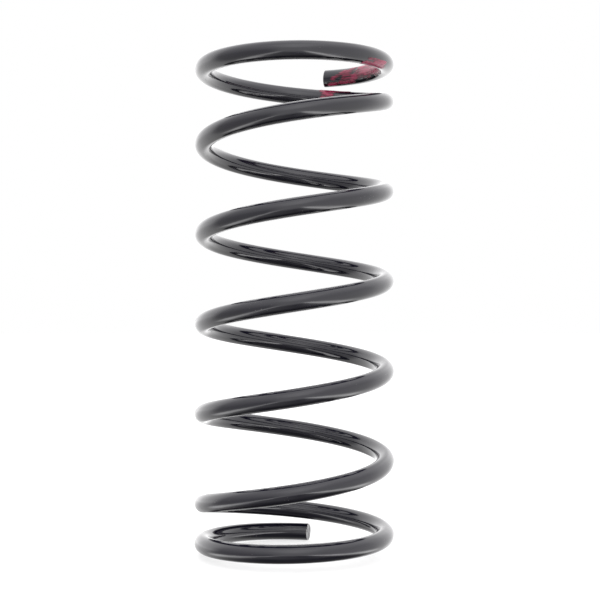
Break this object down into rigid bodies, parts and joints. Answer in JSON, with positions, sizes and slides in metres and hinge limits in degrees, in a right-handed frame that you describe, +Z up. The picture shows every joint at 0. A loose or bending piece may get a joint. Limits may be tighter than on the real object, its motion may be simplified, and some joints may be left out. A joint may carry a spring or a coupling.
{
  "type": "suspension coil spring",
  "caption": "Cylindrical right-hand compression spring for a car's suspension, round bar with closed unground ends, black coated, with red identification paint on the upper end.",
  "frame": {"origin": "on the spring's axis, level with the lowest point of the lower end coil", "axes": "+Z up the spring's axis, +X to the right of its front, +Y away from its front; the bar's lower end is at the back, 80.5 degrees from +X about +Z"},
  "size_m": [0.155, 0.155, 0.3874],
  "materials": {
    "coated_spring_steel": "smooth gloss black enamel over spring steel",
    "identification_paint": "thin brushed red marking paint"
  },
  "bodies": {
    "lower_end": {"lower_end_coil": "coated_spring_steel"},
    "coil_1_arc_1": {"active_coil_1_arc_1": "coated_spring_steel"},
    "coil_1_arc_2": {"active_coil_1_arc_2": "coated_spring_steel"},
    "coil_1_arc_3": {"active_coil_1_arc_3": "coated_spring_steel"},
    "coil_1_arc_4": {"active_coil_1_arc_4": "coated_spring_steel"},
    "coil_1_arc_5": {"active_coil_1_arc_5": "coated_spring_steel"},
    "coil_1_arc_6": {"active_coil_1_arc_6": "coated_spring_steel"},
    "coil_1_arc_7": {"active_coil_1_arc_7": "coated_spring_steel"},
    "coil_1_arc_8": {"active_coil_1_arc_8": "coated_spring_steel"},
    "coil_2_arc_1": {"active_coil_2_arc_1": "coated_spring_steel"},
    "coil_2_arc_2": {"active_coil_2_arc_2": "coated_spring_steel"},
    "coil_2_arc_3": {"active_coil_2_arc_3": "coated_spring_steel"},
    "coil_2_arc_4": {"active_coil_2_arc_4": "coated_spring_steel"},
    "coil_2_arc_5": {"active_coil_2_arc_5": "coated_spring_steel"},
    "coil_2_arc_6": {"active_coil_2_arc_6": "coated_spring_steel"},
    "coil_2_arc_7": {"active_coil_2_arc_7": "coated_spring_steel"},
    "coil_2_arc_8": {"active_coil_2_arc_8": "coated_spring_steel"},
    "coil_3_arc_1": {"active_coil_3_arc_1": "coated_spring_steel"},
    "coil_3_arc_2": {"active_coil_3_arc_2": "coated_spring_steel"},
    "coil_3_arc_3": {"active_coil_3_arc_3": "coated_spring_steel"},
    "coil_3_arc_4": {"active_coil_3_arc_4": "coated_spring_steel"},
    "coil_3_arc_5": {"active_coil_3_arc_5": "coated_spring_steel"},
    "coil_3_arc_6": {"active_coil_3_arc_6": "coated_spring_steel"},
    "coil_3_arc_7": {"active_coil_3_arc_7": "coated_spring_steel"},
    "coil_3_arc_8": {"active_coil_3_arc_8": "coated_spring_steel"},
    "coil_4_arc_1": {"active_coil_4_arc_1": "coated_spring_steel"},
    "coil_4_arc_2": {"active_coil_4_arc_2": "coated_spring_steel"},
    "coil_4_arc_3": {"active_coil_4_arc_3": "coated_spring_steel"},
    "coil_4_arc_4": {"active_coil_4_arc_4": "coated_spring_steel"},
    "coil_4_arc_5": {"active_coil_4_arc_5": "coated_spring_steel"},
    "coil_4_arc_6": {"active_coil_4_arc_6": "coated_spring_steel"},
    "coil_4_arc_7": {"active_coil_4_arc_7": "coated_spring_steel"},
    "coil_4_arc_8": {"active_coil_4_arc_8": "coated_spring_steel"},
    "coil_5_arc_1": {"active_coil_5_arc_1": "coated_spring_steel"},
    "coil_5_arc_2": {"active_coil_5_arc_2": "coated_spring_steel"},
    "coil_5_arc_3": {"active_coil_5_arc_3": "coated_spring_steel"},
    "coil_5_arc_4": {"active_coil_5_arc_4": "coated_spring_steel"},
    "coil_5_arc_5": {"active_coil_5_arc_5": "coated_spring_steel"},
    "coil_5_arc_6": {"active_coil_5_arc_6": "coated_spring_steel"},
    "coil_5_arc_7": {"active_coil_5_arc_7": "coated_spring_steel"},
    "coil_5_arc_8": {"active_coil_5_arc_8": "coated_spring_steel", "daub_paint": "identification_paint"},
    "upper_end": {"upper_end_coil": "coated_spring_steel", "end_coil_paint": "identification_paint"}
  },
  "joints": [
    {"name": "compression", "type": "slide", "parent": "lower_end", "child": "upper_end", "axis": [0, 0, 1], "range_m": [-0.18, 0], "stiffness_N_per_m": 26900},
    {"name": "sink_coil_1_arc_1", "type": "slide", "parent": "lower_end", "child": "coil_1_arc_1", "axis": [0, 0, 1], "range_m": [-0.0008, 0]},
    {"name": "sink_coil_1_arc_2", "type": "slide", "parent": "lower_end", "child": "coil_1_arc_2", "axis": [0, 0, 1], "range_m": [-0.0047, 0]},
    {"name": "sink_coil_1_arc_3", "type": "slide", "parent": "lower_end", "child": "coil_1_arc_3", "axis": [0, 0, 1], "range_m": [-0.0093, 0]},
    {"name": "sink_coil_1_arc_4", "type": "slide", "parent": "lower_end", "child": "coil_1_arc_4", "axis": [0, 0, 1], "range_m": [-0.0139, 0]},
    {"name": "sink_coil_1_arc_5", "type": "slide", "parent": "lower_end", "child": "coil_1_arc_5", "axis": [0, 0, 1], "range_m": [-0.0185, 0]},
    {"name": "sink_coil_1_arc_6", "type": "slide", "parent": "lower_end", "child": "coil_1_arc_6", "axis": [0, 0, 1], "range_m": [-0.0231, 0]},
    {"name": "sink_coil_1_arc_7", "type": "slide", "parent": "lower_end", "child": "coil_1_arc_7", "axis": [0, 0, 1], "range_m": [-0.0277, 0]},
    {"name": "sink_coil_1_arc_8", "type": "slide", "parent": "lower_end", "child": "coil_1_arc_8", "axis": [0, 0, 1], "range_m": [-0.0324, 0]},
    {"name": "sink_coil_2_arc_1", "type": "slide", "parent": "lower_end", "child": "coil_2_arc_1", "axis": [0, 0, 1], "range_m": [-0.037, 0]},
    {"name": "sink_coil_2_arc_2", "type": "slide", "parent": "lower_end", "child": "coil_2_arc_2", "axis": [0, 0, 1], "range_m": [-0.0416, 0]},
    {"name": "sink_coil_2_arc_3", "type": "slide", "parent": "lower_end", "child": "coil_2_arc_3", "axis": [0, 0, 1], "range_m": [-0.0462, 0]},
    {"name": "sink_coil_2_arc_4", "type": "slide", "parent": "lower_end", "child": "coil_2_arc_4", "axis": [0, 0, 1], "range_m": [-0.0508, 0]},
    {"name": "sink_coil_2_arc_5", "type": "slide", "parent": "lower_end", "child": "coil_2_arc_5", "axis": [0, 0, 1], "range_m": [-0.0554, 0]},
    {"name": "sink_coil_2_arc_6", "type": "slide", "parent": "lower_end", "child": "coil_2_arc_6", "axis": [0, 0, 1], "range_m": [-0.0601, 0]},
    {"name": "sink_coil_2_arc_7", "type": "slide", "parent": "lower_end", "child": "coil_2_arc_7", "axis": [0, 0, 1], "range_m": [-0.0647, 0]},
    {"name": "sink_coil_2_arc_8", "type": "slide", "parent": "lower_end", "child": "coil_2_arc_8", "axis": [0, 0, 1], "range_m": [-0.0693, 0]},
    {"name": "sink_coil_3_arc_1", "type": "slide", "parent": "lower_end", "child": "coil_3_arc_1", "axis": [0, 0, 1], "range_m": [-0.0739, 0]},
    {"name": "sink_coil_3_arc_2", "type": "slide", "parent": "lower_end", "child": "coil_3_arc_2", "axis": [0, 0, 1], "range_m": [-0.0785, 0]},
    {"name": "sink_coil_3_arc_3", "type": "slide", "parent": "lower_end", "child": "coil_3_arc_3", "axis": [0, 0, 1], "range_m": [-0.0831, 0]},
    {"name": "sink_coil_3_arc_4", "type": "slide", "parent": "lower_end", "child": "coil_3_arc_4", "axis": [0, 0, 1], "range_m": [-0.0877, 0]},
    {"name": "sink_coil_3_arc_5", "type": "slide", "parent": "lower_end", "child": "coil_3_arc_5", "axis": [0, 0, 1], "range_m": [-0.0924, 0]},
    {"name": "sink_coil_3_arc_6", "type": "slide", "parent": "lower_end", "child": "coil_3_arc_6", "axis": [0, 0, 1], "range_m": [-0.097, 0]},
    {"name": "sink_coil_3_arc_7", "type": "slide", "parent": "lower_end", "child": "coil_3_arc_7", "axis": [0, 0, 1], "range_m": [-0.1016, 0]},
    {"name": "sink_coil_3_arc_8", "type": "slide", "parent": "lower_end", "child": "coil_3_arc_8", "axis": [0, 0, 1], "range_m": [-0.1062, 0]},
    {"name": "sink_coil_4_arc_1", "type": "slide", "parent": "lower_end", "child": "coil_4_arc_1", "axis": [0, 0, 1], "range_m": [-0.1108, 0]},
    {"name": "sink_coil_4_arc_2", "type": "slide", "parent": "lower_end", "child": "coil_4_arc_2", "axis": [0, 0, 1], "range_m": [-0.1154, 0]},
    {"name": "sink_coil_4_arc_3", "type": "slide", "parent": "lower_end", "child": "coil_4_arc_3", "axis": [0, 0, 1], "range_m": [-0.1201, 0]},
    {"name": "sink_coil_4_arc_4", "type": "slide", "parent": "lower_end", "child": "coil_4_arc_4", "axis": [0, 0, 1], "range_m": [-0.1247, 0]},
    {"name": "sink_coil_4_arc_5", "type": "slide", "parent": "lower_end", "child": "coil_4_arc_5", "axis": [0, 0, 1], "range_m": [-0.1293, 0]},
    {"name": "sink_coil_4_arc_6", "type": "slide", "parent": "lower_end", "child": "coil_4_arc_6", "axis": [0, 0, 1], "range_m": [-0.1339, 0]},
    {"name": "sink_coil_4_arc_7", "type": "slide", "parent": "lower_end", "child": "coil_4_arc_7", "axis": [0, 0, 1], "range_m": [-0.1385, 0]},
    {"name": "sink_coil_4_arc_8", "type": "slide", "parent": "lower_end", "child": "coil_4_arc_8", "axis": [0, 0, 1], "range_m": [-0.1431, 0]},
    {"name": "sink_coil_5_arc_1", "type": "slide", "parent": "lower_end", "child": "coil_5_arc_1", "axis": [0, 0, 1], "range_m": [-0.1477, 0]},
    {"name": "sink_coil_5_arc_2", "type": "slide", "parent": "lower_end", "child": "coil_5_arc_2", "axis": [0, 0, 1], "range_m": [-0.1524, 0]},
    {"name": "sink_coil_5_arc_3", "type": "slide", "parent": "lower_end", "child": "coil_5_arc_3", "axis": [0, 0, 1], "range_m": [-0.157, 0]},
    {"name": "sink_coil_5_arc_4", "type": "slide", "parent": "lower_end", "child": "coil_5_arc_4", "axis": [0, 0, 1], "range_m": [-0.1616, 0]},
    {"name": "sink_coil_5_arc_5", "type": "slide", "parent": "lower_end", "child": "coil_5_arc_5", "axis": [0, 0, 1], "range_m": [-0.1662, 0]},
    {"name": "sink_coil_5_arc_6", "type": "slide", "parent": "lower_end", "child": "coil_5_arc_6", "axis": [0, 0, 1], "range_m": [-0.1708, 0]},
    {"name": "sink_coil_5_arc_7", "type": "slide", "parent": "lower_end", "child": "coil_5_arc_7", "axis": [0, 0, 1], "range_m": [-0.1754, 0]},
    {"name": "sink_coil_5_arc_8", "type": "slide", "parent": "lower_end", "child": "coil_5_arc_8", "axis": [0, 0, 1], "range_m": [-0.1793, 0]}
  ],
  "couplings": [
    {"joint": "sink_coil_1_arc_1", "follows": "compression", "ratio": 0.0042735},
    {"joint": "sink_coil_1_arc_2", "follows": "compression", "ratio": 0.025641},
    {"joint": "sink_coil_1_arc_3", "follows": "compression", "ratio": 0.051282},
    {"joint": "sink_coil_1_arc_4", "follows": "compression", "ratio": 0.076923},
    {"joint": "sink_coil_1_arc_5", "follows": "compression", "ratio": 0.10256},
    {"joint": "sink_coil_1_arc_6", "follows": "compression", "ratio": 0.12821},
    {"joint": "sink_coil_1_arc_7", "follows": "compression", "ratio": 0.15385},
    {"joint": "sink_coil_1_arc_8", "follows": "compression", "ratio": 0.17949},
    {"joint": "sink_coil_2_arc_1", "follows": "compression", "ratio": 0.20513},
    {"joint": "sink_coil_2_arc_2", "follows": "compression", "ratio": 0.23077},
    {"joint": "sink_coil_2_arc_3", "follows": "compression", "ratio": 0.25641},
    {"joint": "sink_coil_2_arc_4", "follows": "compression", "ratio": 0.28205},
    {"joint": "sink_coil_2_arc_5", "follows": "compression", "ratio": 0.30769},
    {"joint": "sink_coil_2_arc_6", "follows": "compression", "ratio": 0.33333},
    {"joint": "sink_coil_2_arc_7", "follows": "compression", "ratio": 0.35897},
    {"joint": "sink_coil_2_arc_8", "follows": "compression", "ratio": 0.38462},
    {"joint": "sink_coil_3_arc_1", "follows": "compression", "ratio": 0.41026},
    {"joint": "sink_coil_3_arc_2", "follows": "compression", "ratio": 0.4359},
    {"joint": "sink_coil_3_arc_3", "follows": "compression", "ratio": 0.46154},
    {"joint": "sink_coil_3_arc_4", "follows": "compression", "ratio": 0.48718},
    {"joint": "sink_coil_3_arc_5", "follows": "compression", "ratio": 0.51282},
    {"joint": "sink_coil_3_arc_6", "follows": "compression", "ratio": 0.53846},
    {"joint": "sink_coil_3_arc_7", "follows": "compression", "ratio": 0.5641},
    {"joint": "sink_coil_3_arc_8", "follows": "compression", "ratio": 0.58974},
    {"joint": "sink_coil_4_arc_1", "follows": "compression", "ratio": 0.61538},
    {"joint": "sink_coil_4_arc_2", "follows": "compression", "ratio": 0.64103},
    {"joint": "sink_coil_4_arc_3", "follows": "compression", "ratio": 0.66667},
    {"joint": "sink_coil_4_arc_4", "follows": "compression", "ratio": 0.69231},
    {"joint": "sink_coil_4_arc_5", "follows": "compression", "ratio": 0.71795},
    {"joint": "sink_coil_4_arc_6", "follows": "compression", "ratio": 0.74359},
    {"joint": "sink_coil_4_arc_7", "follows": "compression", "ratio": 0.76923},
    {"joint": "sink_coil_4_arc_8", "follows": "compression", "ratio": 0.79487},
    {"joint": "sink_coil_5_arc_1", "follows": "compression", "ratio": 0.82051},
    {"joint": "sink_coil_5_arc_2", "follows": "compression", "ratio": 0.84615},
    {"joint": "sink_coil_5_arc_3", "follows": "compression", "ratio": 0.87179},
    {"joint": "sink_coil_5_arc_4", "follows": "compression", "ratio": 0.89744},
    {"joint": "sink_coil_5_arc_5", "follows": "compression", "ratio": 0.92308},
    {"joint": "sink_coil_5_arc_6", "follows": "compression", "ratio": 0.94872},
    {"joint": "sink_coil_5_arc_7", "follows": "compression", "ratio": 0.97436},
    {"joint": "sink_coil_5_arc_8", "follows": "compression", "ratio": 0.99573}
  ]
}
